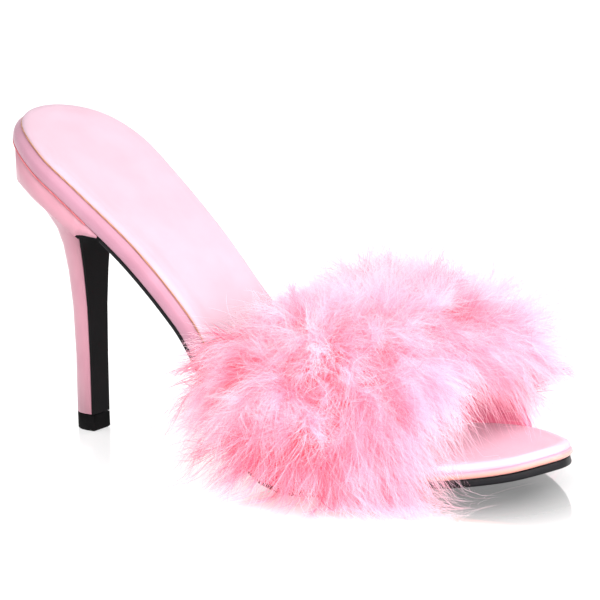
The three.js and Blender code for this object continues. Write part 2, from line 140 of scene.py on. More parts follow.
# Where the vamp's sections leave the sole on each side, how far they lean, and their height
LAST = table(
    "span lateral medial lean crown",
    (-0.60, 0.300, 0.320, 52, 1.00),
    (0.00, 0.410, 0.440, 58, 0.73),
    (0.25, 0.500, 0.545, 27, 0.86),
    (0.50, 0.590, 0.650, 9, 0.85),
    (0.75, 0.680, 0.755, -5, 0.76),
    (1.00, 0.770, 0.840, -22, 0.66),
    (1.60, 0.915, 0.985, -26, 0.56),
)


def curve_through(rows, name):
    """A smooth curve through a table's column, straight on past its ends."""
    xs = next(iter(rows.values()))
    ys = rows[name]
    rises = np.diff(ys) / np.diff(xs)
    product = rises[:-1] * rises[1:]
    total = np.where(product > 0, rises[:-1] + rises[1:], 1)
    slopes = np.concatenate([rises[:1], np.where(product > 0, 2 * product / total, 0), rises[-1:]])

    def read(at):
        at = np.asarray(at, float)
        i = np.clip(np.searchsorted(xs, at) - 1, 0, len(xs) - 2)
        step = xs[i + 1] - xs[i]
        t = np.clip((at - xs[i]) / step, 0, 1)
        level = ys[i] * (1 + 2 * t) * (1 - t) ** 2 + ys[i + 1] * t * t * (3 - 2 * t)
        level += step * (slopes[i] * t * (1 - t) ** 2 + slopes[i + 1] * t * t * (t - 1))
        level += slopes[0] * np.minimum(at - xs[0], 0)
        return level + slopes[-1] * np.maximum(at - xs[-1], 0)

    return read


sole_rise = curve_through(SOLE, "rise")
share_across = {"lateral": curve_through(SOLE, "lateral"), "medial": curve_through(SOLE, "medial")}
seat_to_waist = curve_through(DEPTHS, "seat_to_waist")
waist_to_toe = curve_through(DEPTHS, "waist_to_toe")
shank_to_outsole = curve_through(DEPTHS, "shank_to_outsole")
last_lateral = curve_through(LAST, "lateral")
last_medial = curve_through(LAST, "medial")
last_lean = curve_through(LAST, "lean")
last_crown = curve_through(LAST, "crown")


def mix(a, b, t):
    """The value that lies the share t of the way from a to b."""
    return a + (b - a) * t


def ease(t):
    """0 below 0, 1 above 1 and a soft step between."""
    t = np.clip(t, 0, 1)
    return t * t * (3 - 2 * t)


def soft_peak(value, middle, width):
    """1 at the middle, falling softly to 0 on both sides."""
    return np.exp(-((value - middle) / width) ** 2)


def within(value, start, room):
    """Eases what lies past start so that it never goes more than room beyond it."""
    return np.where(value > start, start + room * (1 - np.exp(-(value - start) / room)), value)


def unit(v):
    """Directions, each with a length of 1."""
    return v / np.maximum(np.linalg.norm(v, axis=-1, keepdims=True), 1e-12)


# The sole line and the heights of the layers over it

def sole_line(along):
    return np.stack([along * SOLE_LENGTH - HEEL_SETBACK, 0 * along, sole_rise(along) * SEAT_HEIGHT], -1)


def sole_normal(along):
    run = unit(sole_line(along + 0.004) - sole_line(along - 0.004))
    return np.stack([-run[..., 2], 0 * along, run[..., 0]], -1)


def on_sole(along, side, height):
    """Places at a share of the sole line, out to the side and up square to the line."""
    along = np.asarray(along, float)
    points = sole_line(along) + sole_normal(along) * (height + 0 * along)[..., None]
    points[..., 1] = side
    return points


def outsole_top(along):
    return mix(SHANK_SOLE_DEPTH, OUTSOLE_DEPTH, shank_to_outsole(along))


def band_bottom(along):
    return outsole_top(along) + GAP


def band_top(along):
    to_waist = mix(SEAT_BAND_DEPTH, WAIST_BAND_DEPTH, seat_to_waist(along))
    return band_bottom(along) + mix(to_waist, TOE_BAND_DEPTH, waist_to_toe(along))


def sock_top(along):
    return band_top(along) + GAP + SOCK_DEPTH


def half_width(along, side, inset):
    """Half the outline's width on one side, for an outline that lies inset inside."""
    from_back = (along * SOLE_LENGTH - inset) / (SEAT_ROUND * SOLE_LENGTH - inset)
    from_toe = ((1 - along) * SOLE_LENGTH - inset) / (TOE_ROUND * SOLE_LENGTH - inset)
    back = np.sqrt(np.clip(1 - np.clip(1 - from_back, 0, 1) ** 2, 0, 1))
    toe = np.sqrt(np.clip(1 - np.clip(1 - from_toe, 0, 1) ** TOE_FULLNESS, 0, 1))
    return (share_across[side](along) * BALL_WIDTH - inset) * np.minimum(back, toe)


def even_stations(count):
    """Shares from the seat's back to the toe's tip that lie evenly round the outline."""
    fine = (1 - np.cos(np.linspace(0, math.pi, 4001))) / 2
    run = np.zeros(len(fine))
    for side in ("lateral", "medial"):
        steps = np.hypot(np.diff(fine) * SOLE_LENGTH, np.diff(half_width(fine, side, 0)))
        run[1:] += np.cumsum(steps)
    return np.interp(np.linspace(0, run[-1], count + 1), run, fine)


STATIONS = even_stations(170)


def outline(inset):
    """Places round the outline: from the seat's back along the lateral side to the toe, and back."""
    end = inset / SOLE_LENGTH
    along = mix(end, 1 - end, STATIONS)
    lateral = -half_width(along, "lateral", inset)
    medial = half_width(along, "medial", inset)
    return np.concatenate([along, along[-2::-1]]), np.concatenate([lateral, medial[-2::-1]])


# Making pieces

def deselect_all():
    for obj in bpy.context.selected_objects:
        obj.select_set(False)


def pick(obj):
    deselect_all()
    obj.select_set(True)
    bpy.context.view_layer.objects.active = obj


def lay_grid(name, points, marks=None):
    """A grid added flat, with its vertices then laid on a table of places and its seams merged."""
    rows, columns = points.shape[:2]
    deselect_all()
    bpy.ops.mesh.primitive_grid_add(x_subdivisions=columns - 1, y_subdivisions=rows - 1, size=1)
    obj = bpy.context.object
    obj.name = name
    obj.data.name = name
    obj.data.vertices.foreach_set("co", points.reshape(-1))
    obj.data.update()
    if marks is not None:
        mark = obj.data.attributes.new("mark", "FLOAT", "POINT")
        mark.data.foreach_set("value", marks.reshape(-1).astype(np.float32))
    bpy.ops.object.mode_set(mode="EDIT")
    bpy.ops.mesh.select_all(action="SELECT")
    bpy.ops.mesh.remove_doubles(threshold=0.002 * MM)
    bpy.ops.mesh.normals_make_consistent(inside=False)
    bpy.ops.object.mode_set(mode="OBJECT")
    return obj


def smooth(obj, degrees=40):
    pick(obj)
    bpy.ops.object.shade_smooth_by_angle(angle=math.radians(degrees))


def add_modifier(obj, kind, **settings):
    pick(obj)
    modifier = obj.modifiers.new(kind.lower(), kind)
    for name, value in settings.items():
        setattr(modifier, name, value)
    bpy.ops.object.modifier_apply(modifier=modifier.name)


def finish_piece(obj, material, slot, *nodes):
    """Gives a piece its material and body, and hides the CAD nodes that it stands for."""
    obj.data.materials.clear()
    obj.data.materials.append(material)
    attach(obj, "root")
    if nodes:
        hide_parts(*nodes)


def copy_of_node(node, name):
    """The CAD node's own shape, merged, as a piece that can be shaded smooth."""
    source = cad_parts[node]
    obj = bpy.data.objects.new(name, source.data.copy())
    bpy.context.scene.collection.objects.link(obj)
    pick(obj)
    bpy.ops.object.mode_set(mode="EDIT")
    bpy.ops.mesh.select_all(action="SELECT")
    bpy.ops.mesh.remove_doubles(threshold=0.01 * MM)
    bpy.ops.object.mode_set(mode="OBJECT")
    return obj


def cord_through(name, points, radius, closed=False, sides=3):
    """A thin round piping or stitch line through points."""
    curve = bpy.data.curves.new(name, "CURVE")
    curve.dimensions = "3D"
    curve.bevel_depth = radius
    curve.bevel_resolution = sides - 2
    curve.use_fill_caps = not closed
    spline = curve.splines.new("POLY")
    spline.points.add(len(points) - 1)
    spline.points.foreach_set("co", np.c_[points, np.ones(len(points))].reshape(-1))
    spline.use_cyclic_u = closed
    obj = bpy.data.objects.new(name, curve)
    bpy.context.scene.collection.objects.link(obj)
    pick(obj)
    bpy.ops.object.convert(target="MESH")
    return bpy.context.object


# Shared surface effects

def shader_group(name, inputs, outputs):
    group = bpy.data.node_groups.new(name, "ShaderNodeTree")
    for label, value in inputs.items():
        kind = "NodeSocketColor" if isinstance(value, tuple) and len(value) == 4 else "NodeSocketFloat"
        if isinstance(value, tuple) and len(value) == 3:
            kind = "NodeSocketVector"
        socket = group.interface.new_socket(name=label, in_out="INPUT", socket_type=kind)
        socket.default_value = value
    for label, kind in outputs.items():
        group.interface.new_socket(name=label, in_out="OUTPUT", socket_type=kind)
    start = group.nodes.new("NodeGroupInput")
    end = group.nodes.new("NodeGroupOutput")
    return group, start, end


class Nodes:
    """Adds and joins shader nodes in a tree."""

    def __init__(self, tree):
        self.tree = tree

    def add(self, kind, settings=None, **inputs):
        node = self.tree.nodes.new(kind)
        for name, value in (settings or {}).items():
            setattr(node, name, value)
        for name, value in inputs.items():
            self.feed(node, name.replace("_", " "), value)
        return node

    def feed(self, node, name, value):
        """Sets or joins an input, by its name or, as n0, n1 and so on, by its number."""
        by_number = name[:1] == "n" and name[1:].isdigit()
        socket = node.inputs[int(name[1:]) if by_number else name]
        if isinstance(value, bpy.types.NodeSocket):
            self.tree.links.new(value, socket)
        else:
            socket.default_value = value

    def math(self, operation, a, b=0.0, c=0.0):
        return self.add("ShaderNodeMath", {"operation": operation}, n0=a, n1=b, n2=c).outputs[0]

    def blend(self, factor, a, b, blend_type="MIX"):
        node = self.tree.nodes.new("ShaderNodeMix")
        node.data_type = "RGBA"
        node.blend_type = blend_type
        self.feed(node, "n0", factor)
        self.feed(node, "n6", a)
        self.feed(node, "n7", b)
        return node.outputs[2]

    def ramp(self, value, *stops):
        node = self.add("ShaderNodeValToRGB", n0=value)
        elements = node.color_ramp.elements
        elements[0].position, elements[0].color = stops[0]
        elements[1].position, elements[1].color = stops[-1]
        for position, colour in stops[1:-1]:
            elements.new(position).color = colour
        return node.outputs[0]


def satin_weave():
    """Fine long threads with crossing ones, and soft unevenness of the cloth."""
    group, start, end = shader_group(
        "satin_weave",
        {"Vector": (0.0, 0.0, 0.0), "Threads": 1400.0, "Unevenness": 60.0},
        {"Weave": "NodeSocketFloat", "Soft": "NodeSocketFloat"},
    )
    nodes = Nodes(group)
    waves = []
    for direction, share in (("X", 1.0), ("Y", 0.45), ("Z", 0.6)):
        scale = nodes.math("MULTIPLY", start.outputs["Threads"], share)
        wave = nodes.add(
            "ShaderNodeTexWave",
            {"wave_type": "BANDS", "bands_direction": direction},
            Vector=start.outputs["Vector"], Scale=scale, Distortion=0.6, Detail=1.0,
        )
        waves.append(wave.outputs["Fac"])
    pair = nodes.math("ADD", waves[0], waves[1])
    weave = nodes.math("MULTIPLY", nodes.math("ADD", pair, waves[2]), 0.33)
    cloud = nodes.add(
        "ShaderNodeTexNoise", Vector=start.outputs["Vector"], Scale=start.outputs["Unevenness"],
        Detail=3.0, Roughness=0.5,
    )
    group.links.new(weave, end.inputs["Weave"])
    group.links.new(cloud.outputs["Fac"], end.inputs["Soft"])
    return group


def edge_rub():
    """Speckles of wear and dust over a surface."""
    group, start, end = shader_group(
        "edge_rub",
        {"Vector": (0.0, 0.0, 0.0), "Scale": 120.0, "Amount": 0.3},
        {"Mask": "NodeSocketFloat", "Grain": "NodeSocketFloat"},
    )
    nodes = Nodes(group)
    place = start.outputs["Vector"]
    scale = start.outputs["Scale"]
    broad = nodes.add("ShaderNodeTexNoise", Vector=place, Scale=scale, Detail=4.0)
    fine_scale = nodes.math("MULTIPLY", scale, 14.0)
    fine = nodes.add("ShaderNodeTexNoise", Vector=place, Scale=fine_scale, Detail=2.0)
    spots = nodes.math("MULTIPLY", broad.outputs["Fac"], fine.outputs["Fac"])
    mask = nodes.math("MULTIPLY", nodes.math("MULTIPLY", spots, start.outputs["Amount"]), 2.0)
    group.links.new(mask, end.inputs["Mask"])
    group.links.new(fine.outputs["Fac"], end.inputs["Grain"])
    return group


SATIN_WEAVE = satin_weave()
EDGE_RUB = edge_rub()


def new_material(name):
    material = bpy.data.materials.new(name)
    material.use_nodes = True
    tree = material.node_tree
    shader = tree.nodes["Principled BSDF"]
    nodes = Nodes(tree)
    place = nodes.add("ShaderNodeTexCoord").outputs["Object"]
    return material, nodes, shader, place


def add_group(nodes, group, **inputs):
    return nodes.add("ShaderNodeGroup", {"node_tree": group}, **inputs)


def satin(name, light, deep, roughness, sheen, bump=0.12, tint=None):
    """Woven satin. tint: the colour that the mesh's mark brings in."""
    material, nodes, shader, place = new_material(name)
    cloth = add_group(nodes, SATIN_WEAVE, Vector=place)
    depth = nodes.ramp(cloth.outputs["Soft"], (0.3, (0, 0, 0, 1)), (0.7, (1, 1, 1, 1)))
    colour = nodes.blend(depth, deep, light)
    if tint:
        mark = nodes.add("ShaderNodeAttribute", {"attribute_name": "mark"}).outputs["Fac"]
        colour = nodes.blend(mark, colour, tint)
    nodes.feed(shader, "Base Color", colour)
    rough = nodes.math("MULTIPLY_ADD", cloth.outputs["Weave"], 0.12, roughness - 0.06)
    nodes.feed(shader, "Roughness", rough)
    height = nodes.math("MULTIPLY_ADD", cloth.outputs["Soft"], 2.5, cloth.outputs["Weave"])
    bumps = nodes.add("ShaderNodeBump", Height=height, Strength=bump, Distance=0.1 * MM)
    nodes.feed(shader, "Normal", bumps.outputs["Normal"])
    shader.inputs["Sheen Weight"].default_value = sheen
    shader.inputs["Sheen Roughness"].default_value = 0.4
    shader.inputs["Sheen Tint"].default_value = (1, 0.85, 0.92, 1)
    shader.inputs["Anisotropic"].default_value = 0.35
    return material


def hard_black(name, colour, roughness, gloss, scale):
    """Semi-matte black with a little rub and grain."""
    material, nodes, shader, place = new_material(name)
    rub = add_group(nodes, EDGE_RUB, Vector=place, Scale=scale)
    nodes.feed(shader, "Base Color", nodes.blend(rub.outputs["Mask"], colour, (0.03, 0.028, 0.03, 1)))
    shader.inputs["Specular IOR Level"].default_value = gloss
    rough = nodes.math("MULTIPLY_ADD", rub.outputs["Mask"], 0.5, roughness)
    nodes.feed(shader, "Roughness", rough)
    bumps = nodes.add("ShaderNodeBump", Height=rub.outputs["Grain"], Strength=0.15, Distance=0.05 * MM)
    nodes.feed(shader, "Normal", bumps.outputs["Normal"])
    return material


def thread(name, light, deep, roughness=0.5):
    """Twisted thread or piping: slanted ridges along the cord."""
    material, nodes, shader, place = new_material(name)
    wave = nodes.add(
        "ShaderNodeTexWave", {"wave_type": "BANDS", "bands_direction": "DIAGONAL"},
        Vector=place, Scale=700.0, Distortion=0.4,
    )
    nodes.feed(shader, "Base Color", nodes.blend(wave.outputs["Fac"], deep, light))
    nodes.feed(shader, "Roughness", nodes.math("MULTIPLY_ADD", wave.outputs["Fac"], 0.15, roughness))
    bumps = nodes.add("ShaderNodeBump", Height=wave.outputs["Fac"], Strength=0.4, Distance=0.08 * MM)
    nodes.feed(shader, "Normal", bumps.outputs["Normal"])
    return material


def down_feather(name, tones, see_through):
    """Feather strands: deep pink at the root, pale at the tip, with light coming through. The deeper
    pink of the roots inside the plumes is partly painted shade, and a faint pink emission is a painted
    glow.
    """
    material, nodes, shader, place = new_material(name)
    tone = nodes.add("ShaderNodeAttribute", {"attribute_name": "tone"}).outputs["Fac"]
    cloud = nodes.add("ShaderNodeTexNoise", Vector=place, Scale=62.0, Detail=2.0)
    shifted = nodes.math("ADD", tone, nodes.math("MULTIPLY_ADD", cloud.outputs["Fac"], 1.1, -0.55))
    colour = nodes.ramp(shifted, *tones)
    nodes.feed(shader, "Base Color", colour)
    nodes.feed(shader, "Roughness", nodes.math("MULTIPLY_ADD", cloud.outputs["Fac"], 0.2, 0.5))
    shader.inputs["Sheen Weight"].default_value = 0.3
    shader.inputs["Specular IOR Level"].default_value = 0.2
    # Painted glow: a faint pink emission stands in for light scattered between the strands.
    shader.inputs["Emission Color"].default_value = (1.0, 0.46, 0.57, 1)
    shader.inputs["Emission Strength"].default_value = 0.31
    through = nodes.add("ShaderNodeBsdfTranslucent", Color=colour)
    both = nodes.add("ShaderNodeMixShader", n0=see_through, n1=shader.outputs[0], n2=through.outputs[0])
    output = nodes.tree.nodes["Material Output"]
    nodes.feed(output, "Surface", both.outputs[0])
    return material


sock_satin = satin("sock_satin", (0.52, 0.36, 0.43, 1), (0.49, 0.325, 0.39, 1), 0.58, 0.15)
band_satin = satin(
    "band_satin", (0.44, 0.215, 0.29, 1), (0.39, 0.175, 0.24, 1), 0.36, 0.3,
    bump=0.4, tint=(0.62, 0.25, 0.2, 1),
)
heel_satin = satin("heel_satin", (0.53, 0.25, 0.31, 1), (0.47, 0.21, 0.27, 1), 0.34, 0.3)
vamp_satin = satin("vamp_satin", (0.78, 0.22, 0.33, 1), (0.62, 0.10, 0.19, 1), 0.5, 0.2, 0.3)
sole_black = hard_black("sole_black", (0.004, 0.004, 0.005, 1), 0.35, 0.12, 160.0)
breast_black = hard_black("breast_black", (0.0022, 0.0022, 0.0026, 1), 0.5, 0.06, 160.0)
tip_black = hard_black("tip_black", (0.001, 0.001, 0.001, 1), 0.5, 0.03, 220.0)
seam_red = thread("seam_red", (0.72, 0.20, 0.22, 1), (0.50, 0.09, 0.11, 1))
edge_gold = thread("edge_gold", (0.55, 0.27, 0.12, 1), (0.33, 0.13, 0.06, 1), 0.4)
marabou_down = down_feather(
    "marabou_down",
    (
        (0.0, (0.93, 0.21, 0.335, 1)),
        (0.25, (0.98, 0.445, 0.565, 1)),
        (0.6, (1.0, 0.68, 0.785, 1)),
        (1.0, (1.0, 0.86, 0.92, 1)),
    ),
    0.8,
)

# The layers of the sole

BAND_SWELL = 0.35 * MM  # how far the band bulges past its outline
DISH = 1.2 * MM  # how far the sock's middle lies below its rim
DISH_SLOPE = 0.45  # share of the way to the middle over which it goes down


def slit(along):
    """The line that a layer's faces close on, along its middle."""
    return mix(0.07, 0.90, along)


def round_toe(along):
    """0 as far as the vamp, 1 round the toe."""
    return ease((along - 0.68) / 0.12)


TOE_SHARE = round_toe(STATIONS)


def sole_layer(name, rows, marked=()):
    """A closed layer from rows of inset, share of the way to the middle, and height on the sole line.

    marked: rows that take a tint round the toe, with its level.
    """
    points = []
    toe = np.concatenate([TOE_SHARE, TOE_SHARE[-2::-1]])
    marks = np.zeros((len(rows), len(toe)))
    for row, level in marked:
        marks[row] = level * toe
    for inset, share, height in rows:
        along, side = outline(inset)
        target = slit(along)
        middle = (half_width(target, "medial", 0) - half_width(target, "lateral", 0)) / 2
        along = mix(along, target, share)
        side = mix(side, middle, share)
        points.append(on_sole(along, side, height(along, share)))
    return lay_grid(name, np.array(points), marks)


def dished(base, share):
    return base - DISH * ease(share / DISH_SLOPE)


def footbed_piece():
    def from_bottom(rise):
        return lambda along, share: band_bottom(along) + rise * MM

    def part_way(part):
        return lambda along, share: mix(band_bottom(along), band_top(along), part)

    def from_top(drop):
        return lambda along, share: band_top(along) - drop * MM

    under_sock = lambda along, share: dished(band_top(along) - 0.1 * MM, share)
    rows = [(3 * MM, share, from_bottom(0)) for share in (1.0, 0.6, 0.2, 0.0)]
    rows += [
        (0.5 * MM, 0, from_bottom(0.05)),
        (0.12 * MM, 0, from_bottom(0.3)),
        (-0.6 * BAND_SWELL, 0, part_way(0.16)),
        (-BAND_SWELL, 0, part_way(0.32)),
        (-BAND_SWELL, 0, part_way(0.48)),
        (-0.7 * BAND_SWELL, 0, part_way(0.6)),
        (0.05 * MM, 0, part_way(0.7)),
        (0.5 * MM, 0, part_way(0.82)),
        (0.95 * MM, 0, part_way(0.93)),
        (1.4 * MM, 0, from_top(0.05)),
        (2.0 * MM, 0, from_top(0.0)),
    ]
    rows += [(2.5 * MM, share, under_sock) for share in (0, 0.1, 0.2, 0.3, 0.6, 1.0)]
    coral = [(4, 1), (5, 1), (6, 1), (7, 0.9), (8, 0.6), (9, 0.25)]
    obj = sole_layer("footbed_band", rows, coral)
    smooth(obj, 50)
    finish_piece(obj, band_satin, "band_satin", "footbed")


def sock_piece():
    def up(rise):
        return lambda along, share: band_top(along) + rise * MM

    def rim(rise, toe_rise):
        def height(along, share):
            return band_top(along) + mix(rise, toe_rise, round_toe(along)) * MM
        return height

    def over(rise):
        return lambda along, share: dished(sock_top(along) + rise * MM, share)

    under = lambda along, share: dished(band_top(along) + 0.15 * MM, share)
    rows = [(3 * MM, share, under) for share in (1.0, 0.6, 0.3, 0.15, 0.0)]
    rows += [
        (1.6 * MM, 0, up(0.15)),
        (mix(SOCK_INSET + 0.15 * MM, 0.5 * MM, TOE_SHARE), 0, rim(0.25, -0.9)),
        (mix(SOCK_INSET, 0.1 * MM, TOE_SHARE), 0, rim(0.6, -0.3)),
        (mix(SOCK_INSET + 0.1 * MM, 0.0 * MM, TOE_SHARE), 0, rim(0.95, 0.4)),
        (mix(SOCK_INSET + 0.45 * MM, 0.35 * MM, TOE_SHARE), 0, rim(1.3, 1.1)),
        (mix(SOCK_INSET + 1.1 * MM, 1.1 * MM, TOE_SHARE), 0, rim(1.55, 1.6)),
        (mix(SOCK_INSET + 2.0 * MM, 2.2 * MM, TOE_SHARE), 0, rim(1.62, 1.8)),
        (mix(SOCK_INSET + 3.0 * MM, 3.4 * MM, TOE_SHARE), 0, rim(1.5, 1.65)),
    ]
    shares = (0, 0.06, 0.12, 0.2, 0.28, 0.4, 0.55, 0.75, 1.0)
    rows += [(SOCK_INSET + 3.5 * MM, share, over(0.1)) for share in shares]
    obj = sole_layer("satin_sock", rows)
    smooth(obj, 60)
    finish_piece(obj, sock_satin, "sock_satin", "sock")


def run_round(along, chosen):
    """The chosen places of an outline, in one run from the medial side round the seat."""
    picked = np.flatnonzero(chosen)
    return np.concatenate([picked[picked >= len(STATIONS)], picked[picked < len(STATIONS)]])


BREAST_ALONG = 0.2  # where the heel's front meets the sole
SHANK_END = 0.5  # where the outsole's painted edge runs out


def band_seams():
    """The piping at the seat, the outsole's painted edge and the fine stitched edge of the sock."""
    along, side = outline(0.15 * MM)
    seat = run_round(along, along < BREAST_ALONG)
    low = on_sole(along[seat], side[seat], band_bottom(along[seat]) - 0.05 * MM)
    piping = cord_through("band_piping", low, 0.22 * MM)
    smooth(piping, 60)
    finish_piece(piping, seam_red, "band_satin")
    along, side = outline(0.45 * MM)
    shank = np.flatnonzero((along >= BREAST_ALONG + 0.02) & (along < SHANK_END))
    low = on_sole(along[shank], side[shank], band_bottom(along[shank]) - 0.62 * MM)
    outer = shank < len(STATIONS)
    for name, chosen in (("lateral_shank_edge", outer), ("medial_shank_edge", ~outer)):
        edge = cord_through(name, low[chosen], 0.6 * MM, sides=4)
        smooth(edge, 60)
        finish_piece(edge, sole_black, "black_sole")
    along, side = outline(SOCK_INSET + 0.1 * MM)
    path = run_round(along, along < last_lateral(0) + 0.03)
    edge = on_sole(along[path], side[path], band_top(along[path]) + 0.3 * MM)
    stitched = cord_through("sock_edge", edge, 0.26 * MM)
    smooth(stitched, 60)
    finish_piece(stitched, edge_gold, "sock_satin")


footbed_piece()
sock_piece()
band_seams()

# The outsole, the heel and its covering keep the CAD's shape, shaded smooth

for node, name, material, slot, degrees in (
    ("outsole", "black_outsole", sole_black, "black_sole", 35),
    ("heel", "satin_heel", heel_satin, "heel_satin", 65),
    ("breast_cover", "heel_breast", breast_black, "black_sole", 35),
    ("top_piece", "heel_tip", tip_black, "heel_tip", 35),
):
    piece = copy_of_node(node, name)
    smooth(piece, degrees)
    finish_piece(piece, material, slot, node)

# The vamp

VAMP_WALL = 1.8 * MM
VAMP_PROUD = 0.5 * MM  # the satin lies over the band's side


def vamp_point(span, arch):
    """A point on the vamp's outer face.

    span: 0 at the back edge to 1 at the front edge. arch: 0 at the lateral side to 1 at the medial.
    """
    cosine = np.cos(math.pi * arch)
    sine = np.clip(np.sin(math.pi * arch), 0, 1)
    along = mix(last_lateral(span), last_medial(span), (1 - cosine) / 2)
    half = np.where(cosine > 0, -half_width(along, "lateral", 0), half_width(along, "medial", 0))
    height = sine ** (2 / VAMP_ROUNDNESS) * INSTEP_HEIGHT * last_crown(span)
    lean = np.radians(last_lean(span))
    side = half * np.abs(cosine) ** (2 / VAMP_ROUNDNESS) + CROWN_LEAN * sine
    points = on_sole(along, side, band_bottom(along))
    points[..., 0] += height * np.sin(lean)
    points[..., 2] += height * np.cos(lean)
    return points


def vamp_normal(span, arch):
    """The direction straight out of the vamp's outer face."""
    step = 0.01
    low = np.maximum(arch - step, 0.002)
    high = np.minimum(arch + step, 0.998)
    across = vamp_point(span, high) - vamp_point(span, low)
    forward = vamp_point(span + step, arch) - vamp_point(span - step, arch)
    return unit(np.cross(forward, across))


def vamp_piece():
    spans = np.linspace(0, 1, 31)
    t = np.linspace(0, 1, 181)
    arches = t - 0.12 * np.sin(2 * math.pi * t)
    span, arch = np.meshgrid(spans, arches, indexing="ij")
    edge = np.abs(span - 0.5) * 2
    pleats = np.sin(arch * 260 + 3 * np.sin(arch * 37)) * 0.2 * MM * edge ** 3
    points = vamp_point(span, arch) + vamp_normal(span, arch) * (VAMP_PROUD + pleats)[..., None]
    obj = lay_grid("satin_vamp", points)
    add_modifier(obj, "SOLIDIFY", thickness=VAMP_WALL + VAMP_PROUD, offset=-1)
    sharp = math.radians(50)
    add_modifier(obj, "BEVEL", width=0.5 * MM, segments=2, limit_method="ANGLE", angle_limit=sharp)
    smooth(obj, 60)
    finish_piece(obj, vamp_satin, "vamp_satin", "upper")


vamp_piece()

# The marabou: plumes of fine barbs, short down under them and single long strands

PLUMES = 760
BARBS = 78
DOWN_STRANDS = 16000
LONG_STRANDS = 2200
FRINGE_STRANDS = 4200
FLOOR_LIFT = 1.2 * MM  # how far a strand that has come down stays over the floor
FLOOR_ROOM = 4.8 * MM  # the height over that in which strands are eased off
LOOSE_FRONT = 0.155  # where loose ends start to be drawn in, towards the toe
LOOSE_SIDE = 0.065  # and to both sides
FRONT_ROOM = 20 * MM
MEDIAL_ROOM = 20 * MM
LATERAL_ROOM = 18 * MM
VAMP_CLEAR = 0.6 * MM
SOCK_CLEAR = 0.8 * MM


def ribbons(name, paths, widths, tones, facing):
    """One mesh of thin tapering strands. paths: strand, point, place. Each strand ends in a point."""
    strands, count = paths.shape[:2]
    along = unit(np.gradient(paths, axis=1))
    across = unit(np.cross(along, facing[:, None, :])) * (widths / 2)[..., None]
    left = (paths - across)[:, :-1]
    right = (paths + across)[:, :-1]
    body = np.stack([left, right], 2).reshape(strands, -1, 3)
    places = np.concatenate([body, paths[:, -1:]], 1)
    per = places.shape[1]
    corners = []
    for k in range(count - 2):
        a = 2 * k
        corners += [(a, a + 1, a + 3), (a, a + 3, a + 2)]
    corners.append((per - 3, per - 2, per - 1))
    triangles = np.array(corners)[None] + (np.arange(strands) * per)[:, None, None]
    triangles = triangles.reshape(-1)
    mesh = bpy.data.meshes.new(name)
    mesh.vertices.add(strands * per)
    mesh.vertices.foreach_set("co", places.reshape(-1).astype(np.float32))
    mesh.loops.add(len(triangles))
    mesh.loops.foreach_set("vertex_index", triangles.astype(np.int32))
    mesh.polygons.add(len(triangles) // 3)
    mesh.polygons.foreach_set("loop_start", np.arange(0, len(triangles), 3, dtype=np.int32))
    tone = mesh.attributes.new("tone", "FLOAT", "POINT")
    shades = np.concatenate([np.repeat(tones[:, :-1], 2, axis=1), tones[:, -1:]], 1)
    tone.data.foreach_set("value", shades.reshape(-1).astype(np.float32))
    mesh.update(calc_edges=True)
    mesh.shade_smooth()
    obj = bpy.data.objects.new(name, mesh)
    bpy.context.scene.collection.objects.link(obj)
    return obj


REACH_CELL = 1.5 * MM  # the vamp's reach is kept for places this far apart
REACH_CELLS = 130
REACH_TURNS = 90  # and for this many angles round it
REACH_MARGIN = 0.3  # radians below the level on each side


def vamp_reach():
    """How far the vamp's outer face lies from the sole line, by place along it and angle round it."""
    span, arch = np.meshgrid(np.linspace(0, 1, 240), np.linspace(0, 1, 500), indexing="ij")
    points = vamp_point(span, arch).reshape(-1, 3)
    cell, turn, out = round_sole(points)
    reach = np.zeros((REACH_CELLS, REACH_TURNS))
    np.maximum.at(reach, (cell, turn), out)
    spread = reach.copy()
    for shift in (-1, 1):
        spread = np.maximum(spread, np.roll(reach, shift, axis=1))
    return np.where(reach > 0, reach, spread)


def round_sole(points):
    """The place's cell along the shoe, its angle's number and its distance from the sole line."""
    along = (points[..., 0] + HEEL_SETBACK) / SOLE_LENGTH
    height = points[..., 2] - sole_line(along)[..., 2]
    turn = np.arctan2(height, points[..., 1])
    part = (turn + REACH_MARGIN) / (math.pi + 2 * REACH_MARGIN) * REACH_TURNS
    cell = np.clip(points[..., 0] / REACH_CELL, 0, REACH_CELLS - 1).astype(int)
    part = np.clip(part, 0, REACH_TURNS - 1).astype(int)
    return cell, part, np.hypot(height, points[..., 1])


VAMP_REACH = vamp_reach()


def keep_clear(paths):
    """Moves what would go through the vamp, the sock or the floor out to its surface."""
    paths[..., 0] = within(paths[..., 0], LOOSE_FRONT, FRONT_ROOM)
    paths[..., 1] = within(paths[..., 1], LOOSE_SIDE, MEDIAL_ROOM)
    paths[..., 1] = -within(-paths[..., 1], LOOSE_SIDE, LATERAL_ROOM)
    cell, turn, out = round_sole(paths)
    wanted = VAMP_REACH[cell, turn] + VAMP_CLEAR
    push = np.where(out < wanted, wanted / np.maximum(out, MM), 1)
    base = sole_line((paths[..., 0] + HEEL_SETBACK) / SOLE_LENGTH)[..., 2]
    paths[..., 1] *= push
    paths[..., 2] = base + (paths[..., 2] - base) * push
    x, y, z = paths[..., 0], paths[..., 1], paths[..., 2]
    along = np.clip((x + HEEL_SETBACK) / SOLE_LENGTH, 0.02, 0.98)
    surface = sole_line(along)[..., 2] + sock_top(along) * sole_normal(along)[..., 2] + SOCK_CLEAR
    under = sole_line(along)[..., 2] - 1 * MM
    over_sole = (y > -half_width(along, "lateral", 0)) & (y < half_width(along, "medial", 0))
    sunk = over_sole & (z < surface) & (z > under)
    paths[..., 2] = np.where(sunk, surface, z)
    low = paths[..., 2]
    start = FLOOR_LIFT + FLOOR_ROOM
    eased = FLOOR_LIFT + FLOOR_ROOM * np.exp((low - start) / FLOOR_ROOM)
    paths[..., 2] = np.where(low < start, eased, low)
    return paths


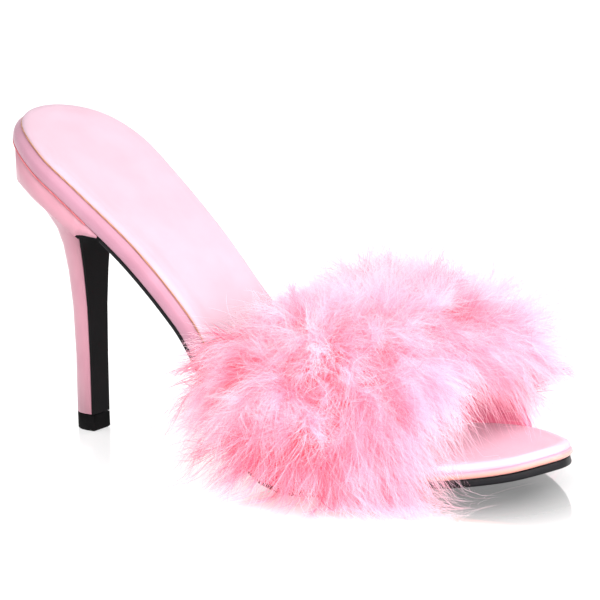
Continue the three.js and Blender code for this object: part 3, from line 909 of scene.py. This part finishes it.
def inner_crown(arch):
    """1 on the crown's inner side, where the marabou stands up, and less away from it."""
    return soft_peak(arch, 0.8, 0.14)


def fullness(span, arch):
    """The marabou is fullest on the crown's inner side and shorter at the sole and the back edge."""
    full = 1 + 0.5 * inner_crown(arch) - 0.12 * soft_peak(arch, 0.48, 0.12)
    low = mix(0.84, 1, ease(np.minimum(arch / 0.3, (1 - arch) / 0.2)))
    back = 1 - 0.28 * ease((0.4 - span) / 0.35) * ease((0.75 - arch) / 0.25)
    front = 1 - 0.6 * ease((span - 0.45) / 0.4) * ease((arch - 0.74) / 0.14)
    return full * low * back * front


def plume_quills(rng, count):
    """Where strands spring from the vamp and which way they set off."""
    span = rng.uniform(-0.02, 1.02, count)
    arch = 0.03 + rng.uniform(0, 1, count) * mix(0.94, 0.84, ease((span - 0.4) / 0.5))
    outwards = vamp_normal(span, arch)
    root = vamp_point(span, arch)
    spread = np.stack([
        (span - 0.4) * 1.4 + rng.normal(0, 0.35, count),
        rng.normal(0, 0.3, count),
        rng.normal(0, 0.25, count) + 0.4 * inner_crown(arch) + 0.3 * ease((arch - 0.85) / 0.12),
    ], -1)
    away = unit(outwards + spread)
    return root, away, outwards, span, arch


def hang(rng, span, arch, level, least, most):
    """How far a strand hangs: more on the outer side and over the vamp's front edge."""
    limp = rng.uniform(least, most, len(arch)) * level * mix(1.1, 0.25, arch)
    return limp + 0.45 * ease((span - 0.6) / 0.4) * (1 - ease((arch - 0.6) / 0.2))


def droop(points_t, away, length, amount):
    """A strand's middle line from its root: straight out at first, then hanging."""
    line = away[:, None, :] * (length[:, None] * points_t)[..., None]
    line[..., 2] -= (amount * length)[:, None] * points_t ** 2
    return line


def sideways(rng, away):
    """A chance direction for each strand, square to its own."""
    return unit(np.cross(away, rng.normal(0, 1, away.shape)))


def swayed(paths, sway, amount, t, power=2):
    """Strands bent to one side, more and more towards the tip."""
    return paths + sway[:, None, :] * amount[:, None, None] * (t ** power)[None, :, None]


def tapering(rng, count, least, most, tip, t):
    """Widths from least to most millimetres, which shrink to the share tip at the strand's end."""
    return rng.uniform(least, most, count)[:, None] * MM * mix(1, tip, t)[None]


def finish_strands(rng, name, paths, widths, tones):
    """Makes a piece of strands that each face a chance way."""
    facing = rng.normal(0, 1, (len(paths), 3))
    obj = ribbons(name, keep_clear(paths), widths, tones, facing)
    finish_piece(obj, marabou_down, "marabou", "marabou")


def plume_strands(rng, count, barbs):
    """The barbs of all plumes: each stands off its quill at an angle and curls on its own."""
    root, away, outwards, span, arch = plume_quills(rng, count)
    level = np.hypot(away[:, 0], away[:, 1])
    length = rng.uniform(12, 23, count) * MM * mix(0.7, 1.25, level) * fullness(span, arch)
    amount = hang(rng, span, arch, level, 0.2, 0.9)
    side = sideways(rng, away)
    curl = rng.normal(0, 0.22, count)

    owner = np.repeat(np.arange(count), barbs)
    total = len(owner)
    start = rng.beta(1.1, 1.0, total)
    step = 0.02

    def quill_at(t):
        line = away[owner] * (length[owner] * t)[:, None]
        line[:, 2] -= amount[owner] * length[owner] * t ** 2
        return root[owner] + line + side[owner] * (curl[owner] * length[owner] * t ** 2)[:, None]

    base = quill_at(start)
    tangent = unit(quill_at(start + step) - quill_at(start - step))
    around = sideways(rng, tangent)
    opening = np.radians(rng.uniform(12, 66, total)) * mix(1.0, 0.55, start)
    aim = unit(tangent * np.cos(opening)[:, None] + around * np.sin(opening)[:, None])
    off = outwards[owner]
    aim = unit(aim + off * np.clip(0.15 - (aim * off).sum(1), 0, None)[:, None])
    reach = mix(19, 13, start) * MM * rng.uniform(0.5, 1.3, total) * fullness(span, arch)[owner]
    t = np.linspace(0, 1, 6)
    paths = base[:, None, :] + aim[:, None, :] * (reach[:, None] * t)[..., None]
    tuft = sideways(rng, away) * rng.uniform(0.1, 0.75, count)[:, None]
    own = rng.normal(0, 0.1, (total, 3))
    bend = tuft[owner] + own - around * np.sin(opening)[:, None] * 0.4
    paths += bend[:, None, :] * (reach[:, None] * t ** 2)[..., None]
    paths[..., 2] -= (reach * rng.uniform(0.05, 0.4, total))[:, None] * t ** 2
    sway = sideways(rng, aim)
    turns = t[None] * rng.uniform(3, 9, total)[:, None]
    wave = np.sin(turns + rng.uniform(0, 6.28, total)[:, None])
    wave -= wave[:, :1]
    paths += sway[:, None, :] * (wave * rng.uniform(0.2, 1.3, total)[:, None] * MM)[..., None]
    widths = tapering(rng, total, 0.11, 0.2, 0.4, t)
    shade = rng.normal(0, 0.2, count)[owner] + rng.normal(0, 0.05, total)
    # Painted shade: barbs whose plume springs low, near the floor, are darker.
    shade -= 0.4 * ease((0.032 - root[owner, 2]) / 0.025)
    # Tones rise from root to tip; the deeper roots inside the plume are partly painted shade.
    tones = 0.18 + 0.42 * start[:, None] + 0.45 * t[None] + shade[:, None]
    facing = rng.normal(0, 1, (total, 3))
    return arch[owner], keep_clear(paths), widths, tones, facing


def marabou_plumes():
    """The plumes as three pieces: the vamp's outer side, its crown and its inner side."""
    rng = np.random.default_rng(7)
    arch, paths, widths, tones, facing = plume_strands(rng, PLUMES, BARBS)
    for name, low, high in (
        ("marabou_lateral", -1, 0.33), ("marabou_crown", 0.33, 0.66), ("marabou_medial", 0.66, 2),
    ):
        chosen = (arch >= low) & (arch < high)
        obj = ribbons(name, paths[chosen], widths[chosen], tones[chosen], facing[chosen])
        finish_piece(obj, marabou_down, "marabou", "marabou")


def marabou_down_layer():
    """Short broad down that covers the vamp under the plumes."""
    rng = np.random.default_rng(11)
    count = DOWN_STRANDS
    root, away, *_ = plume_quills(rng, count)
    t = np.linspace(0, 1, 4)
    length = rng.uniform(6, 18, count) * MM
    paths = root[:, None, :] + droop(t, away, length, rng.uniform(0, 0.5, count))
    sway = sideways(rng, away)
    paths = swayed(paths, sway, length * rng.uniform(0, 0.5, count), t)
    widths = tapering(rng, count, 0.35, 0.6, 0.5, t)
    # The down under the plumes takes the deepest tones, partly painted shade.
    tones = 0.05 + 0.35 * t[None] + rng.normal(0, 0.05, count)[:, None]
    finish_strands(rng, "marabou_underdown", paths, widths, tones)


def marabou_fringe():
    """Fine strands from the vamp's front edge that hang over the opening and the sole."""
    rng = np.random.default_rng(31)
    count = FRINGE_STRANDS
    span = rng.uniform(0.7, 1.02, count)
    arch = 0.02 + 0.8 * rng.uniform(0, 1, count) ** 1.4
    t = np.linspace(0, 1, 9)
    low = np.clip(1 - arch / 0.62, 0, 1)
    away = unit(np.stack([
        rng.uniform(0.4, 2.2, count),
        -rng.uniform(-0.1, 0.7, count) * low,
        rng.uniform(-0.35, 0.3, count) - 0.5 * ease((arch - 0.5) / 0.15),
    ], -1) + 0.4 * vamp_normal(span, arch))
    length = rng.uniform(14, 38, count) * MM * mix(0.6, 1.35, low)
    root = vamp_point(span, arch)
    paths = root[:, None, :] + droop(t, away, length, rng.uniform(0.3, 1.2, count))
    sway = sideways(rng, away)
    paths = swayed(paths, sway, length * rng.normal(0, 0.22, count), t)
    widths = tapering(rng, count, 0.12, 0.22, 0.4, t)
    tones = 0.2 + 0.6 * t[None] + rng.normal(0, 0.15, count)[:, None]
    finish_strands(rng, "marabou_fringe", paths, widths, tones)


def marabou_long_strands():
    """Single strands that stand out past the plumes."""
    rng = np.random.default_rng(23)
    count = LONG_STRANDS
    root, away, _, span, arch = plume_quills(rng, count)
    t = np.linspace(0, 1, 10)
    level = np.hypot(away[:, 0], away[:, 1])
    length = rng.uniform(22, 36, count) * MM * mix(0.65, 1.15, level) * fullness(span, arch)
    length *= 1 + 0.25 * inner_crown(arch)
    limp = hang(rng, span, arch, level, 0.2, 1.1)
    paths = root[:, None, :] + droop(t, away, length, limp)
    sway = sideways(rng, away)
    paths = swayed(paths, sway, length * rng.normal(0, 0.5, count), t, 2.2)
    widths = tapering(rng, count, 0.12, 0.22, 0.5, t)
    tones = 0.45 + 0.5 * t[None] + rng.normal(0, 0.15, count)[:, None]
    finish_strands(rng, "marabou_strands", paths, widths, tones)


marabou_plumes()
marabou_down_layer()
marabou_fringe()
marabou_long_strands()

# The stage and the light

TOE_SPOT = (0.152, -0.008, 0.0)  # the floor under the toe, where it mirrors the sole


def add_floor():
    """A pale glossy floor that glows white away from the shoe, with a painted shadow under the toe, and
    mirrors the toe.
    """
    deselect_all()
    bpy.ops.mesh.primitive_plane_add(size=14, location=(0, 0, 0))
    floor = bpy.context.object
    floor.name = "studio_floor"
    material, nodes, shader, place = new_material("pale_floor")
    speck = nodes.add("ShaderNodeTexNoise", Vector=place, Scale=6.0).outputs["Fac"]
    grey = nodes.blend(speck, (0.56, 0.56, 0.56, 1), (0.59, 0.59, 0.59, 1))
    nodes.feed(shader, "Base Color", grey)
    distance = nodes.add("ShaderNodeVectorMath", {"operation": "DISTANCE"}, n0=place, n1=TOE_SPOT)
    away = distance.outputs["Value"]
    # The floor's emission keeps it white; near the toe it is dimmed, a painted shadow.
    glow = nodes.ramp(
        away, (0.02, (0.22, 0.22, 0.22, 1)), (0.08, (0.5, 0.5, 0.5, 1)), (0.4, (0.6, 0.6, 0.6, 1)),
    )
    nodes.feed(shader, "Emission Color", glow)
    shader.inputs["Emission Strength"].default_value = 1.0
    polish = nodes.ramp(away, (0.02, (0.9, 0.9, 0.9, 1)), (0.075, (0, 0, 0, 1)))
    nodes.feed(shader, "Metallic", polish)
    nodes.feed(shader, "Roughness", nodes.math("MULTIPLY_ADD", polish, -0.11, 0.15))
    shader.inputs["IOR"].default_value = 1.75
    floor.data.materials.append(material)


def add_area_light(name, place, aim, size, power):
    """A round softbox that looks at aim. A small one doesn't show in reflections."""
    data = bpy.data.lights.new(name, "AREA")
    data.shape = "DISK"
    data.size = size
    data.energy = power
    light = bpy.data.objects.new(name, data)
    bpy.context.scene.collection.objects.link(light)
    light.visible_glossy = size > 0.5
    turn = (Vector(aim) - Vector(place)).to_track_quat("-Z", "Y")
    light.matrix_world = Matrix.Translation(place) @ turn.to_matrix().to_4x4()


def add_light():
    world = bpy.data.worlds.new("white_studio")
    bpy.context.scene.world = world
    world.use_nodes = True
    background = world.node_tree.nodes["Background"]
    background.inputs["Color"].default_value = (1, 1, 1, 1)
    background.inputs["Strength"].default_value = 0.85
    add_area_light("key_softbox", (-0.5, -0.9, 1.1), (0.06, 0, 0.05), 0.9, 3)
    add_area_light("camera_side_softbox", (0.75, -1.0, 0.6), (0.11, 0, 0.04), 1.0, 10)
    add_area_light("toe_softbox", (1.2, 0.1, 0.9), (0.15, 0, 0.02), 0.8, 8)
    add_area_light("toe_fill", (0.34, -0.12, 0.14), (0.14, 0, 0.02), 0.2, 1.0)
    add_area_light("back_softbox", (0.2, 1.1, 0.9), (0.08, 0, 0.05), 0.9, 2)
    bpy.context.scene.view_settings.view_transform = "Standard"


add_floor()
add_light()
